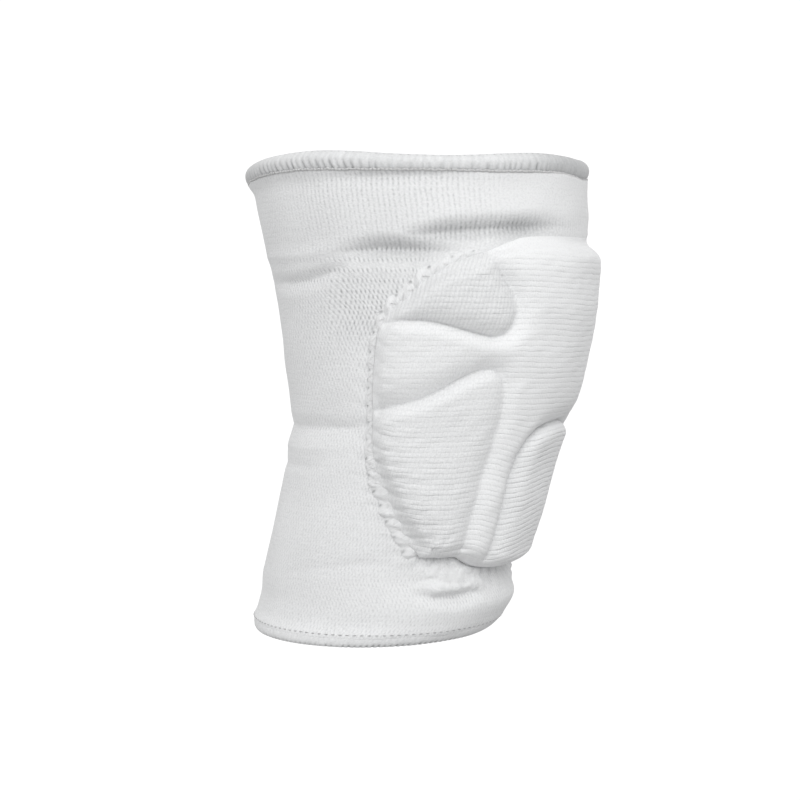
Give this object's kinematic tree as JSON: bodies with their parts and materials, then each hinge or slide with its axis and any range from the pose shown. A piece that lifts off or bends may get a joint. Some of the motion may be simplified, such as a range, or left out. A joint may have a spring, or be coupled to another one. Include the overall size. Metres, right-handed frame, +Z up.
{
  "type": "volleyball knee pad",
  "caption": "Knitted knee sleeve with a foam pad over the kneecap, sides and shin, in the form it has on a slightly bent leg, open at both ends.",
  "frame": {"origin": "middle of the leg hollow at the height of the kneecap, where the leg that wears the pad passes", "axes": "+Z up the thigh, -Y out of the front of the knee, +X to the right as seen from the front"},
  "size_m": [0.1302, 0.1562, 0.2046],
  "materials": {
    "knit": "white stretch knit with a fine honeycomb texture",
    "hem_knit": "white ribbed knit, rolled and stitched",
    "ribbed_cover": "white knit with level ribs, drawn over foam",
    "seam_thread": "white overlock stitching, slightly puckered"
  },
  "bodies": {
    "root": {"sleeve": "knit", "top_hem": "hem_knit", "bottom_hem": "hem_knit", "centre_pad": "ribbed_cover", "shin_pad": "ribbed_cover", "upper_side_pad_left": "ribbed_cover", "upper_side_pad_right": "ribbed_cover", "lower_side_pad_left": "ribbed_cover", "lower_side_pad_right": "ribbed_cover", "pad_seam": "seam_thread"}
  },
  "joints": []
}
